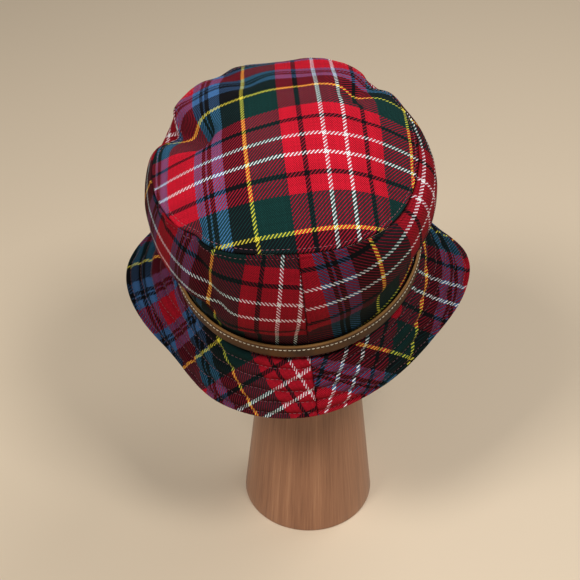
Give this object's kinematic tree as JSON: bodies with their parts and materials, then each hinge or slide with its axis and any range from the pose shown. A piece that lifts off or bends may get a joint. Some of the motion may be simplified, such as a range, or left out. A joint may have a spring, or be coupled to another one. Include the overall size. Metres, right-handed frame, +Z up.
{
  "type": "bucket hat on a stand",
  "caption": "Soft tartan bucket hat with a full crown, waved brim and narrow leather band, resting on a turned wooden stand.",
  "frame": {"origin": "centre of the stand's round foot, on the surface it stands on", "axes": "+Z up along the stand; -Y is the hat's front, +X its wearer's left"},
  "size_m": [0.2638, 0.2618, 0.401],
  "materials": {
    "tip_tartan": "red, green and blue woollen tartan twill",
    "side_tartan": "red, green and blue woollen tartan twill",
    "brim_tartan": "red, green and blue woollen tartan twill, quilted in rows",
    "band_leather": "brown leather with a cream stitch line",
    "stand_wood": "satin walnut-brown wood, grain upright"
  },
  "bodies": {
    "root": {"crown_tip": "tip_tartan", "crown_side_left": "side_tartan", "crown_side_right": "side_tartan", "brim_left": "brim_tartan", "brim_right": "brim_tartan", "hat_band": "band_leather", "stand": "stand_wood"}
  },
  "joints": []
}
